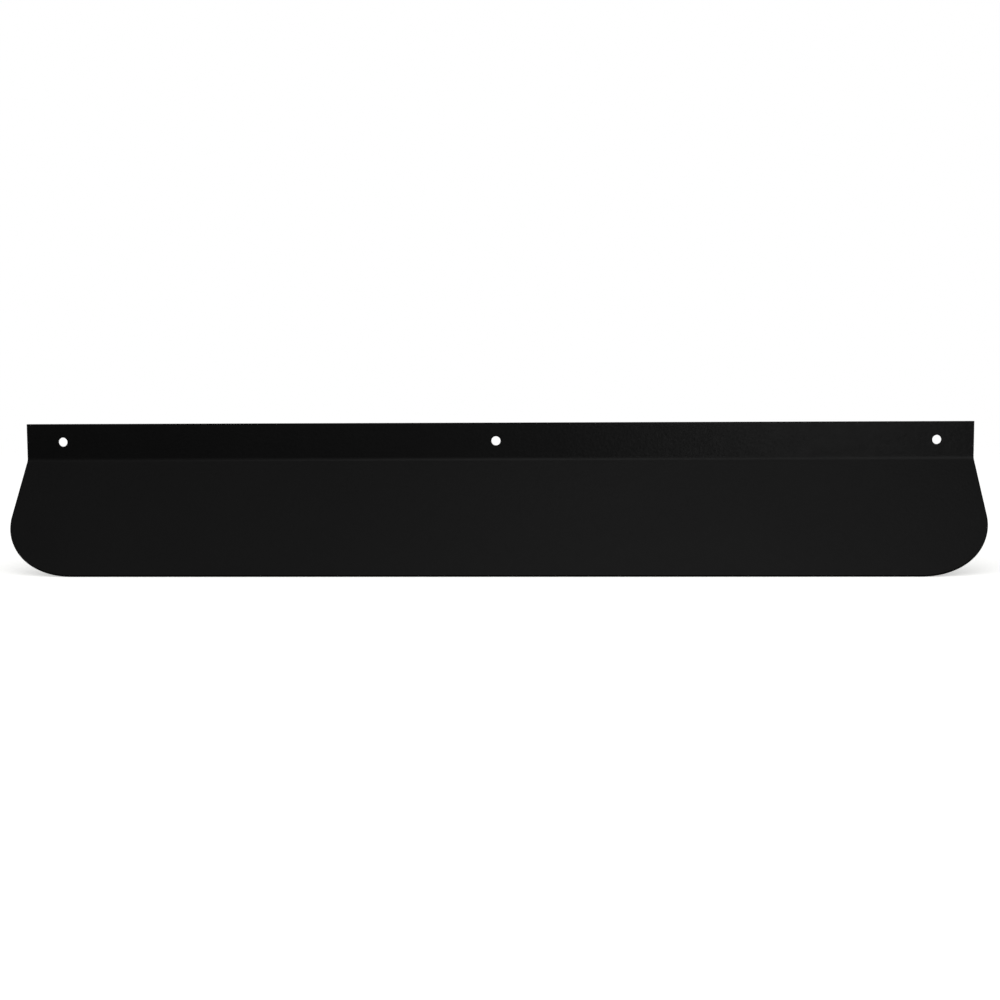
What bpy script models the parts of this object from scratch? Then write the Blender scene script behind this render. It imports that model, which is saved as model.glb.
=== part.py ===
"""Kick plate: one steel sheet, folded lengthwise into a screw flange and a sloping blade.

The sheet is laid out flat, as it is cut, and then folded. Blank coordinates are x along the
fold, rise up the sheet from the middle of the fold, and depth through the sheet towards its
front. The folded plate stands in metres with +Z up and its front towards -Y. The origin lies
on the back of the flange, midway along it, halfway between the fold line and the screw line.
"""

import math

import bmesh
import bpy
from mathutils import Vector

INCH = 0.0254

# The folded plate. Heights are measured on its front, from where the two faces would meet.
LENGTH = 26 * INCH
FLANGE_HEIGHT = 1 * INCH
BLADE_HEIGHT = 4 * INCH
THICKNESS = 0.0019
FOLD_ANGLE = math.radians(45)
FOLD_RADIUS = 5 / 32 * INCH  # on the front, the inner side of the fold
CORNER_RADIUS = 2 * INCH  # lower corners of the blade
EDGE_ROUNDING = 0.0003  # cut edges, deburred and coated

# The screw holes, on a line along the flange.
HOLE_DIAMETER = 1 / 4 * INCH
HOLE_SPACING = 12 * INCH
SCREW_LINE = 1 / 2 * INCH  # above the fold line
HOLES = (-HOLE_SPACING, 0.0, HOLE_SPACING)

# How finely the round shapes are divided.
CORNER_STEPS = 32
HOLE_STEPS = 32
FOLD_STEPS = 10
EDGE_STEPS = 1
SHARP_ANGLE = math.radians(30)  # edges sharper than this aren't shaded smooth
WELD_DISTANCE = 1e-6
CUT_TOLERANCE = 1e-7

# Satin black powder coat.
COAT_COLOUR = (0.012, 0.012, 0.012, 1.0)
COAT_ROUGHNESS = 0.35

# Worked out from the sizes above.
MIDDLE_RADIUS = FOLD_RADIUS + THICKNESS / 2
SETBACK = FOLD_RADIUS * math.tan(FOLD_ANGLE / 2)
HALF_FOLD = MIDDLE_RADIUS * FOLD_ANGLE / 2
TOP_RISE = HALF_FOLD + FLANGE_HEIGHT - SETBACK
BOTTOM_RISE = -(HALF_FOLD + BLADE_HEIGHT - SETBACK)
HOLE_RISE = HALF_FOLD + SCREW_LINE - SETBACK
FOLD_LINE_Z = -SCREW_LINE / 2
FOLD_CENTRE_Y = -THICKNESS - FOLD_RADIUS
FOLD_CENTRE_Z = FOLD_LINE_Z + SETBACK


def clear_scene():
    for thing in list(bpy.data.objects):
        bpy.data.objects.remove(thing, do_unlink=True)


def make_collection(name):
    collection = bpy.data.collections.new(name)
    bpy.context.scene.collection.children.link(collection)
    return collection


def black_powder_coat():
    material = bpy.data.materials.new("black_powder_coat")
    material.use_nodes = True
    shader = material.node_tree.nodes["Principled BSDF"]
    shader.inputs["Base Color"].default_value = COAT_COLOUR
    shader.inputs["Roughness"].default_value = COAT_ROUGHNESS
    shader.inputs["Metallic"].default_value = 0.0
    return material


def arc(centre, radius, start, turn, steps):
    """Points round a centre, from the start angle through the turn, both ends included."""
    angles = [start + turn * step / steps for step in range(steps + 1)]
    return [(centre[0] + radius * math.cos(a), centre[1] + radius * math.sin(a)) for a in angles]


def blank_outline():
    """The outer edge, from the top left corner down the left side and round."""
    side = LENGTH / 2
    inset = side - CORNER_RADIUS
    level = BOTTOM_RISE + CORNER_RADIUS
    quarter = math.pi / 2
    left = arc((-inset, level), CORNER_RADIUS, math.pi, quarter, CORNER_STEPS)
    right = arc((inset, level), CORNER_RADIUS, -quarter, quarter, CORNER_STEPS)
    return [(-side, TOP_RISE)] + left + right + [(side, TOP_RISE)]


def hole_outline(x):
    return arc((x, HOLE_RISE), HOLE_DIAMETER / 2, 0.0, math.tau, HOLE_STEPS)[:-1]


def add_loop(curve, points):
    spline = curve.splines.new("POLY")
    spline.points.add(len(points) - 1)
    for knot, (x, rise) in zip(spline.points, points):
        knot.co = (x, rise, 0.0, 1.0)
    spline.use_cyclic_u = True


def flat_blank(collection):
    """The cut sheet as a filled curve, its edge rounded within its outline."""
    curve = bpy.data.curves.new("blank", "CURVE")
    curve.dimensions = "2D"
    curve.fill_mode = "BOTH"
    curve.extrude = THICKNESS / 2 - EDGE_ROUNDING
    curve.bevel_depth = EDGE_ROUNDING
    curve.bevel_resolution = EDGE_STEPS
    curve.offset = -EDGE_ROUNDING
    add_loop(curve, blank_outline())
    for x in HOLES:
        add_loop(curve, hole_outline(x))
    blank = bpy.data.objects.new("blank", curve)
    collection.objects.link(blank)
    return blank


def as_mesh(blank):
    """The curve's evaluated shape as a welded mesh; the curve is removed."""
    evaluated = blank.evaluated_get(bpy.context.evaluated_depsgraph_get())
    mesh = bpy.data.meshes.new_from_object(evaluated)
    shape = bmesh.new()
    shape.from_mesh(mesh)
    bpy.data.objects.remove(blank, do_unlink=True)
    bpy.data.meshes.remove(mesh)
    bmesh.ops.remove_doubles(shape, verts=shape.verts, dist=WELD_DISTANCE)
    return shape


def divide_fold(shape):
    """Cut the flat sheet across at each step of the fold, so that it can bend there."""
    for step in range(FOLD_STEPS + 1):
        rise = HALF_FOLD - 2 * HALF_FOLD * step / FOLD_STEPS
        everything = shape.verts[:] + shape.edges[:] + shape.faces[:]
        bmesh.ops.bisect_plane(shape, geom=everything, dist=CUT_TOLERANCE,
                               plane_co=(0.0, rise, 0.0), plane_no=(0.0, 1.0, 0.0))


def folded(x, rise, depth):
    """Where a point of the flat sheet is once the sheet is folded."""
    angle = min(max((HALF_FOLD - rise) / MIDDLE_RADIUS, 0.0), FOLD_ANGLE)
    up_flange = max(rise - HALF_FOLD, 0.0)
    down_blade = max(-rise - HALF_FOLD, 0.0)
    radius = MIDDLE_RADIUS - depth
    y = FOLD_CENTRE_Y + radius * math.cos(angle) - down_blade * math.sin(angle)
    z = FOLD_CENTRE_Z - radius * math.sin(angle) - down_blade * math.cos(angle) + up_flange
    return Vector((x, y, z))


def kick_plate(collection):
    shape = as_mesh(flat_blank(collection))
    divide_fold(shape)
    for vert in shape.verts:
        vert.co = folded(*vert.co)
    bmesh.ops.recalc_face_normals(shape, faces=shape.faces)
    mesh = bpy.data.meshes.new("kick_plate")
    shape.to_mesh(mesh)
    shape.free()
    mesh.shade_smooth()
    mesh.set_sharp_from_angle(angle=SHARP_ANGLE)
    mesh.materials.append(black_powder_coat())
    plate = bpy.data.objects.new("kick_plate", mesh)
    collection.objects.link(plate)


def main():
    clear_scene()
    kick_plate(make_collection("kick plate"))


main()
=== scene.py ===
"""The looks of the kick plate: its fine sheet surface and satin black powder coat, in a pale studio.

Everything is in metres in the CAD frame: +X along the plate, +Z up, the front towards -Y.
"""

import math

import bmesh
import bpy
from mathutils import Euler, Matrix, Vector

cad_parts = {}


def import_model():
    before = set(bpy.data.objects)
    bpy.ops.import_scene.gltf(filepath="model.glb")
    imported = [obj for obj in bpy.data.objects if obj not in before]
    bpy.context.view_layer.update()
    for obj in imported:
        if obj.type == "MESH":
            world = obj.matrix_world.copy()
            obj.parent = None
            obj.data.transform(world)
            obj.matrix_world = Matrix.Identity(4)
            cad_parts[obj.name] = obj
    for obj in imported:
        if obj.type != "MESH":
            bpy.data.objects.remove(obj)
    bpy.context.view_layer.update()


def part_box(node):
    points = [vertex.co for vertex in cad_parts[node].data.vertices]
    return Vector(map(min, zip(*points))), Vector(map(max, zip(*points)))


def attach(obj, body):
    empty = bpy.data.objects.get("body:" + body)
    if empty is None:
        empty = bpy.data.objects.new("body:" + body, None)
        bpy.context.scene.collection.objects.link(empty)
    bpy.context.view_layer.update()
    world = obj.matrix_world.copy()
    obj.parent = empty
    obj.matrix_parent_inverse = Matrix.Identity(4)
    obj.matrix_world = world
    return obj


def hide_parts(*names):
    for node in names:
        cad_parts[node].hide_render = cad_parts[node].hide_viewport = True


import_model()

INCH = 0.0254

# The folded plate, in the sizes of the CAD part.
PLATE_LOW, PLATE_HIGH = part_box("kick_plate")
HALF_LENGTH = (PLATE_HIGH.x - PLATE_LOW.x) / 2
FLANGE_HEIGHT = 1 * INCH
BLADE_HEIGHT = 4 * INCH
THICKNESS = 0.0019
FOLD_ANGLE = math.radians(45)
FOLD_RADIUS = 5 / 32 * INCH
CORNER_RADIUS = 2 * INCH
EDGE_ROUNDING = 0.00035
HOLE_RADIUS = 1 / 8 * INCH
HOLE_SPACING = 12 * INCH
SCREW_LINE = 1 / 2 * INCH
HOLES = (-HOLE_SPACING, 0.0, HOLE_SPACING)

# The flat blank that is folded: rise runs up the sheet from the middle of the fold.
MIDDLE_RADIUS = FOLD_RADIUS + THICKNESS / 2
SETBACK = FOLD_RADIUS * math.tan(FOLD_ANGLE / 2)
HALF_FOLD = MIDDLE_RADIUS * FOLD_ANGLE / 2
TOP_RISE = HALF_FOLD + FLANGE_HEIGHT - SETBACK
BOTTOM_RISE = -(HALF_FOLD + BLADE_HEIGHT - SETBACK)
HOLE_RISE = HALF_FOLD + SCREW_LINE - SETBACK
CORNER_RISE = BOTTOM_RISE + CORNER_RADIUS
INSET = HALF_LENGTH - CORNER_RADIUS
FOLD_CENTRE_Y = -THICKNESS - FOLD_RADIUS
FOLD_CENTRE_Z = -SCREW_LINE / 2 + SETBACK

# How finely the sheet is divided.
HOLE_SIDE = 16  # quads along each side of the square round a hole
HOLE_RINGS = 6
HOLE_REACH = 0.012  # half the width of that square
COLUMN = 0.006
FOLD_ROWS = 16
BLADE_ROWS = 12
CORNER_STEPS = 40
EDGE_STEPS = 4
EDGE_ANGLE = math.radians(60)  # sharper edges than this are rounded
FLAT_FACE_WEIGHT = 100  # large faces keep their flat normals
WELD_DISTANCE = 1e-6

# The powder coat. Scales are in features to the metre, depths in metres.
COAT_DARK = (0.0090, 0.0090, 0.0092, 1.0)
COAT_LIGHT = (0.0120, 0.0120, 0.0120, 1.0)
COAT_ROUGHNESS = (0.325, 0.355)
NOISE_LOW = 0.3  # most of a noise texture's values lie between these two
NOISE_HIGH = 0.7
CLOUD_SCALE = 14.0
CLOUD_DETAIL = 2.0
GLOSS_SCALE = 90.0
GLOSS_DETAIL = 4.0
PEEL_SCALE = 420.0
PEEL_DETAIL = 1.0
PEEL_DEPTH = 0.00007
GRAIN_SCALE = 3200.0
GRAIN_DETAIL = 0.0
GRAIN_DEPTH = 0.00001

# The studio.
WHITE = (1.0, 1.0, 1.0, 1.0)
FLOOR_RADIUS = 1.8
FLOOR_SIDES = 96
FLOOR_COLOUR = (0.82, 0.82, 0.81, 1.0)
FLOOR_ROUGHNESS = 0.9
FLOOR_GLOW = 0.6
FLOOR_LIGHT = 2.0
FLOOR_LIGHT_SPREAD = math.radians(150)
FLOOR_LIGHT_LEAN = math.radians(10)
FILL = 0.013
PLATE_MIDDLE = (PLATE_LOW + PLATE_HIGH) / 2

# Rows of soft boxes from overhead down to the front: the y and z of a row, the width and height
# of its boxes, and the x and watts of each box.
ROWS = (
    ("overhead", (-0.25, 1.6), (0.8, 0.9), ((-1.2, 0.09), (-0.4, 0.3), (0.4, 0.49), (1.2, 0.04))),
    ("steep", (-1.1, 1.9), (0.9, 0.75), ((-0.9, 0.28), (0.0, 0.9), (0.9, 0.7))),
    ("sloping", (-1.7, 1.4), (0.9, 0.75), ((-0.9, 0.1), (0.0, 0.8), (0.9, 1.1))),
    ("shallow", (-2.05, 0.7), (0.9, 0.75), ((-0.9, 0.2), (0.0, 0.25), (0.9, 0.85))),
    ("front", (-2.6, -0.05), (0.4, 0.6), ((-1.2, 0.09), (-0.4, 0.15), (0.3, 0.12), (0.66, 0.88))),
)

# Single soft boxes: high on the left, beside the right end, and below the floor on the left,
# since the floor casts no shadow. Place, width and height, and watts.
SINGLES = (
    ("side_left", (-2.4, -1.0, 1.9), (1.0, 1.0), 3.0),
    ("side_right", (2.0, -0.1, 0.1), (0.8, 0.8), 1.0),
    ("low_left", (-1.3, -1.3, -0.85), (0.8, 0.8), 0.25),
)

# Light that comes up off the floor behind the plate: width and depth, and watts.
FLOOR_BOUNCE_SIZE = (2.2, 1.3)
FLOOR_BOUNCE_WATTS = 3.0

# The camera: lens and sensor in millimetres, reach in metres.
LENS = 56.55
SENSOR = 36.0
CAMERA_REACH = 50.0
CAMERA_PLACE = (0.0387, -1.0953, 0.0628)
LOOK_DOWN = math.radians(5.11)
LOOK_LEFT = math.radians(1.888)
ROLL = math.radians(-0.274)


# ---------------------------------------------------------------- the sheet

def spread(start, end, parts):
    """Evenly spaced values from start to end, both included."""
    return [start + (end - start) * part / parts for part in range(parts + 1)]


def columns_between(start, end):
    return spread(start, end, max(2, round((end - start) / COLUMN)))


def blank_columns():
    """Where the columns of the sheet's grid stand along it."""
    stops = [-HALF_LENGTH, -INSET]
    for x in HOLES:
        stops += [x - HOLE_REACH, x + HOLE_REACH]
    stops = sorted(stops + [INSET, HALF_LENGTH])
    columns = [stops[0]]
    for start, end in zip(stops, stops[1:]):
        if any(start < x < end for x in HOLES):
            stretch = spread(start, end, HOLE_SIDE)
        else:
            stretch = columns_between(start, end)
        columns += stretch[1:]
    return columns


def folded(x, rise):
    """Where a point of the flat blank's middle layer is once the sheet is folded."""
    angle = min(max((HALF_FOLD - rise) / MIDDLE_RADIUS, 0.0), FOLD_ANGLE)
    up_flange = max(rise - HALF_FOLD, 0.0)
    down_blade = max(-rise - HALF_FOLD, 0.0)
    y = FOLD_CENTRE_Y + MIDDLE_RADIUS * math.cos(angle) - down_blade * math.sin(angle)
    z = FOLD_CENTRE_Z - MIDDLE_RADIUS * math.sin(angle) - down_blade * math.cos(angle) + up_flange
    return Vector((x, y, z))


def add_patch(shape, rows):
    """Quads between neighbouring rows of (x, rise) points."""
    grid = [[shape.verts.new(folded(*point)) for point in row] for row in rows]
    for upper, lower in zip(grid, grid[1:]):
        for i in range(len(upper) - 1):
            shape.faces.new((upper[i], lower[i], lower[i + 1], upper[i + 1]))


def add_rectangle(shape, columns, rises):
    add_patch(shape, [[(x, rise) for x in columns] for rise in rises])


def hole_square(x):
    """The outline of the square round a hole, anticlockwise from its lower right corner."""
    across = spread(x - HOLE_REACH, x + HOLE_REACH, HOLE_SIDE)
    up = spread(HALF_FOLD, TOP_RISE, HOLE_SIDE)
    right = [(across[-1], rise) for rise in up[:-1]]
    top = [(place, TOP_RISE) for place in reversed(across[1:])]
    left = [(across[0], rise) for rise in reversed(up[1:])]
    bottom = [(place, HALF_FOLD) for place in across]
    return right + top + left + bottom


def add_hole(shape, x):
    """Rings of quads from a screw hole out to the square round it."""
    square = hole_square(x)
    turn = math.tau / (len(square) - 1)
    rings = []
    for share in spread(0.0, 1.0, HOLE_RINGS):
        ring = []
        for i, (outer_x, outer_rise) in enumerate(square):
            angle = i * turn - math.pi / 4
            inner_x = x + HOLE_RADIUS * math.cos(angle)
            inner_rise = HOLE_RISE + HOLE_RADIUS * math.sin(angle)
            ring.append((inner_x + (outer_x - inner_x) * share,
                         inner_rise + (outer_rise - inner_rise) * share))
        rings.append(ring)
    add_patch(shape, rings)


def add_corner(shape, side, radii):
    """A rounded lower corner: rings about the corner's centre, cut into equal angles."""
    rings = []
    for radius in radii:
        ring = []
        for angle in spread(0.0, math.pi / 2, CORNER_STEPS):
            x = side * (INSET + radius * math.cos(angle))
            ring.append((x, CORNER_RISE - radius * math.sin(angle)))
        rings.append(ring)
    add_patch(shape, rings)


def sheet():
    """The middle layer of the folded sheet, as one grid with its holes and corners."""
    shape = bmesh.new()
    columns = blank_columns()
    flange_rises = spread(TOP_RISE, HALF_FOLD, HOLE_SIDE)
    for start, end in zip(columns, columns[1:]):
        if not any(x - HOLE_REACH < (start + end) / 2 < x + HOLE_REACH for x in HOLES):
            add_rectangle(shape, [start, end], flange_rises)
    for x in HOLES:
        add_hole(shape, x)
    add_rectangle(shape, columns, spread(HALF_FOLD, -HALF_FOLD, FOLD_ROWS))
    add_rectangle(shape, columns, spread(-HALF_FOLD, CORNER_RISE, BLADE_ROWS))
    radii = [x - INSET for x in columns if x > INSET - WELD_DISTANCE]
    middle = [x for x in columns if abs(x) < INSET + WELD_DISTANCE]
    add_rectangle(shape, middle, [CORNER_RISE - radius for radius in radii])
    for side in (-1, 1):
        add_corner(shape, side, radii)
    bmesh.ops.remove_doubles(shape, verts=shape.verts, dist=WELD_DISTANCE)
    bmesh.ops.recalc_face_normals(shape, faces=shape.faces)
    return shape


def kick_plate(material):
    shape = sheet()
    mesh = bpy.data.meshes.new("kick_plate_sheet")
    shape.to_mesh(mesh)
    shape.free()
    mesh.shade_smooth()
    mesh.materials.append(material)
    plate = bpy.data.objects.new("kick_plate_sheet", mesh)
    bpy.context.scene.collection.objects.link(plate)
    solid = plate.modifiers.new("thickness", "SOLIDIFY")
    solid.thickness = THICKNESS
    solid.offset = 0.0
    solid.use_even_offset = True
    edges = plate.modifiers.new("rounded edges", "BEVEL")
    edges.width = EDGE_ROUNDING
    edges.segments = EDGE_STEPS
    edges.limit_method = "ANGLE"
    edges.angle_limit = EDGE_ANGLE
    normals = plate.modifiers.new("flat faces", "WEIGHTED_NORMAL")
    normals.weight = FLAT_FACE_WEIGHT
    normals.keep_sharp = False
    return plate


# ------------------------------------------------------------- the material

def noise(nodes, links, place, scale, detail):
    texture = nodes.new("ShaderNodeTexNoise")
    texture.inputs["Scale"].default_value = scale
    texture.inputs["Detail"].default_value = detail
    links.new(place, texture.inputs["Vector"])
    return texture.outputs["Fac"]


def between(nodes, links, value, low, high):
    """Noise values turned into the range from low to high."""
    spread_out = nodes.new("ShaderNodeMapRange")
    spread_out.inputs["From Min"].default_value = NOISE_LOW
    spread_out.inputs["From Max"].default_value = NOISE_HIGH
    spread_out.inputs["To Min"].default_value = low
    spread_out.inputs["To Max"].default_value = high
    links.new(value, spread_out.inputs["Value"])
    return spread_out.outputs["Result"]


def bump(nodes, links, height, depth, before=None):
    relief = nodes.new("ShaderNodeBump")
    relief.inputs["Strength"].default_value = 1.0
    relief.inputs["Distance"].default_value = depth
    links.new(height, relief.inputs["Height"])
    if before:
        links.new(before, relief.inputs["Normal"])
    return relief.outputs["Normal"]


def powder_coat():
    """Satin black powder coat: a soft orange peel, a fine grain and slightly uneven gloss."""
    material = bpy.data.materials.new("satin_powder_coat")
    material.use_nodes = True
    nodes, links = material.node_tree.nodes, material.node_tree.links
    shader = nodes["Principled BSDF"]
    place = nodes.new("ShaderNodeTexCoord").outputs["Object"]

    cloud = noise(nodes, links, place, CLOUD_SCALE, CLOUD_DETAIL)
    tone = nodes.new("ShaderNodeMix")
    tone.data_type = "RGBA"
    tone.inputs["A"].default_value = COAT_DARK
    tone.inputs["B"].default_value = COAT_LIGHT
    links.new(between(nodes, links, cloud, 0.0, 1.0), tone.inputs["Factor"])
    links.new(tone.outputs["Result"], shader.inputs["Base Color"])

    gloss = noise(nodes, links, place, GLOSS_SCALE, GLOSS_DETAIL)
    links.new(between(nodes, links, gloss, *COAT_ROUGHNESS), shader.inputs["Roughness"])

    peel = noise(nodes, links, place, PEEL_SCALE, PEEL_DETAIL)
    peeled = bump(nodes, links, peel, PEEL_DEPTH)
    grain = noise(nodes, links, place, GRAIN_SCALE, GRAIN_DETAIL)
    links.new(bump(nodes, links, grain, GRAIN_DEPTH, peeled), shader.inputs["Normal"])
    return material


# --------------------------------------------------------------- the studio

def soft_box(name, place, size, watts, aim=PLATE_MIDDLE):
    """An area light that the camera doesn't see, and that faces the plate unless aimed elsewhere."""
    lamp = bpy.data.lights.new(name, "AREA")
    lamp.shape = "RECTANGLE"
    lamp.size, lamp.size_y = size
    lamp.energy = watts
    light = bpy.data.objects.new(name, lamp)
    light.location = place
    light.rotation_euler = (Vector(aim) - Vector(place)).to_track_quat("-Z", "Y").to_euler()
    light.visible_camera = False
    bpy.context.scene.collection.objects.link(light)


def soft_boxes():
    for row, (y, z), size, boxes in ROWS:
        for number, (x, watts) in enumerate(boxes, 1):
            soft_box(f"{row}_{number}", (x, y, z), size, watts)
    for name, place, size, watts in SINGLES:
        soft_box(name, place, size, watts)


def floor_bounce():
    """Light coming up off the floor behind the plate, for its back."""
    place = Vector((0.0, PLATE_HIGH.y + FLOOR_BOUNCE_SIZE[1] / 2, PLATE_LOW.z))
    straight_up = place + Vector((0.0, 0.0, 1.0))
    soft_box("floor_bounce", place, FLOOR_BOUNCE_SIZE, FLOOR_BOUNCE_WATTS, aim=straight_up)


def world():
    """White to the camera, and a dim even fill to the plate."""
    sky = bpy.data.worlds.new("studio")
    bpy.context.scene.world = sky
    sky.use_nodes = True
    nodes, links = sky.node_tree.nodes, sky.node_tree.links
    seen = nodes["Background"]
    seen.inputs["Color"].default_value = WHITE
    fill = nodes.new("ShaderNodeBackground")
    fill.inputs["Color"].default_value = WHITE
    fill.inputs["Strength"].default_value = FILL
    path = nodes.new("ShaderNodeLightPath")
    mix = nodes.new("ShaderNodeMixShader")
    links.new(path.outputs["Is Camera Ray"], mix.inputs["Fac"])
    links.new(fill.outputs["Background"], mix.inputs[1])
    links.new(seen.outputs["Background"], mix.inputs[2])
    links.new(mix.outputs["Shader"], nodes["World Output"].inputs["Surface"])


def floor_paint():
    """Matt off-white that fades out towards the floor's rim."""
    material = bpy.data.materials.new("pale_floor")
    material.use_nodes = True
    nodes, links = material.node_tree.nodes, material.node_tree.links
    shader = nodes["Principled BSDF"]
    shader.inputs["Base Color"].default_value = FLOOR_COLOUR
    shader.inputs["Roughness"].default_value = FLOOR_ROUGHNESS
    shader.inputs["Emission Color"].default_value = FLOOR_COLOUR
    shader.inputs["Emission Strength"].default_value = FLOOR_GLOW
    reach = nodes.new("ShaderNodeVectorMath")
    reach.operation = "LENGTH"
    links.new(nodes.new("ShaderNodeTexCoord").outputs["Object"], reach.inputs[0])
    fade = nodes.new("ShaderNodeMapRange")
    fade.interpolation_type = "SMOOTHSTEP"
    fade.inputs["From Min"].default_value = FLOOR_RADIUS / 2
    fade.inputs["From Max"].default_value = FLOOR_RADIUS
    fade.inputs["To Min"].default_value = 1.0
    fade.inputs["To Max"].default_value = 0.0
    links.new(reach.outputs["Value"], fade.inputs["Value"])
    links.new(fade.outputs["Result"], shader.inputs["Alpha"])
    return material


def floor():
    """A pale round floor under the plate's lower edge, which the plate doesn't mirror."""
    shape = bmesh.new()
    bmesh.ops.create_circle(shape, cap_ends=True, segments=FLOOR_SIDES, radius=FLOOR_RADIUS)
    mesh = bpy.data.meshes.new("floor")
    shape.to_mesh(mesh)
    shape.free()
    mesh.materials.append(floor_paint())
    ground = bpy.data.objects.new("floor", mesh)
    ground.location = (0.0, PLATE_LOW.y / 2, PLATE_LOW.z)
    ground.visible_glossy = False
    ground.visible_diffuse = False
    ground.visible_shadow = False
    bpy.context.scene.collection.objects.link(ground)
    return ground


def floor_light(ground):
    """Light from the whole sky overhead that falls on the floor only."""
    lamp = bpy.data.lights.new("floor_light", "SUN")
    lamp.energy = FLOOR_LIGHT
    lamp.angle = FLOOR_LIGHT_SPREAD
    light = bpy.data.objects.new("floor_light", lamp)
    light.rotation_euler = (FLOOR_LIGHT_LEAN, 0.0, 0.0)
    bpy.context.scene.collection.objects.link(light)
    receivers = bpy.data.collections.new("lit by the floor light")
    receivers.objects.link(ground)
    light.light_linking.receiver_collection = receivers


def camera():
    data = bpy.data.cameras.new("camera")
    data.sensor_width = SENSOR
    data.lens = LENS
    data.clip_end = CAMERA_REACH
    view = bpy.data.objects.new("camera", data)
    view.location = CAMERA_PLACE
    view.rotation_euler = Euler((math.pi / 2 - LOOK_DOWN, 0.0, LOOK_LEFT), "XYZ")
    view.rotation_euler.rotate_axis("Z", ROLL)
    bpy.context.scene.collection.objects.link(view)
    bpy.context.scene.camera = view


def main():
    plate = kick_plate(powder_coat())
    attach(plate, "root")
    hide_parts("kick_plate")
    world()
    floor_light(floor())
    soft_boxes()
    floor_bounce()
    camera()
    bpy.context.scene.view_settings.view_transform = "Standard"


main()
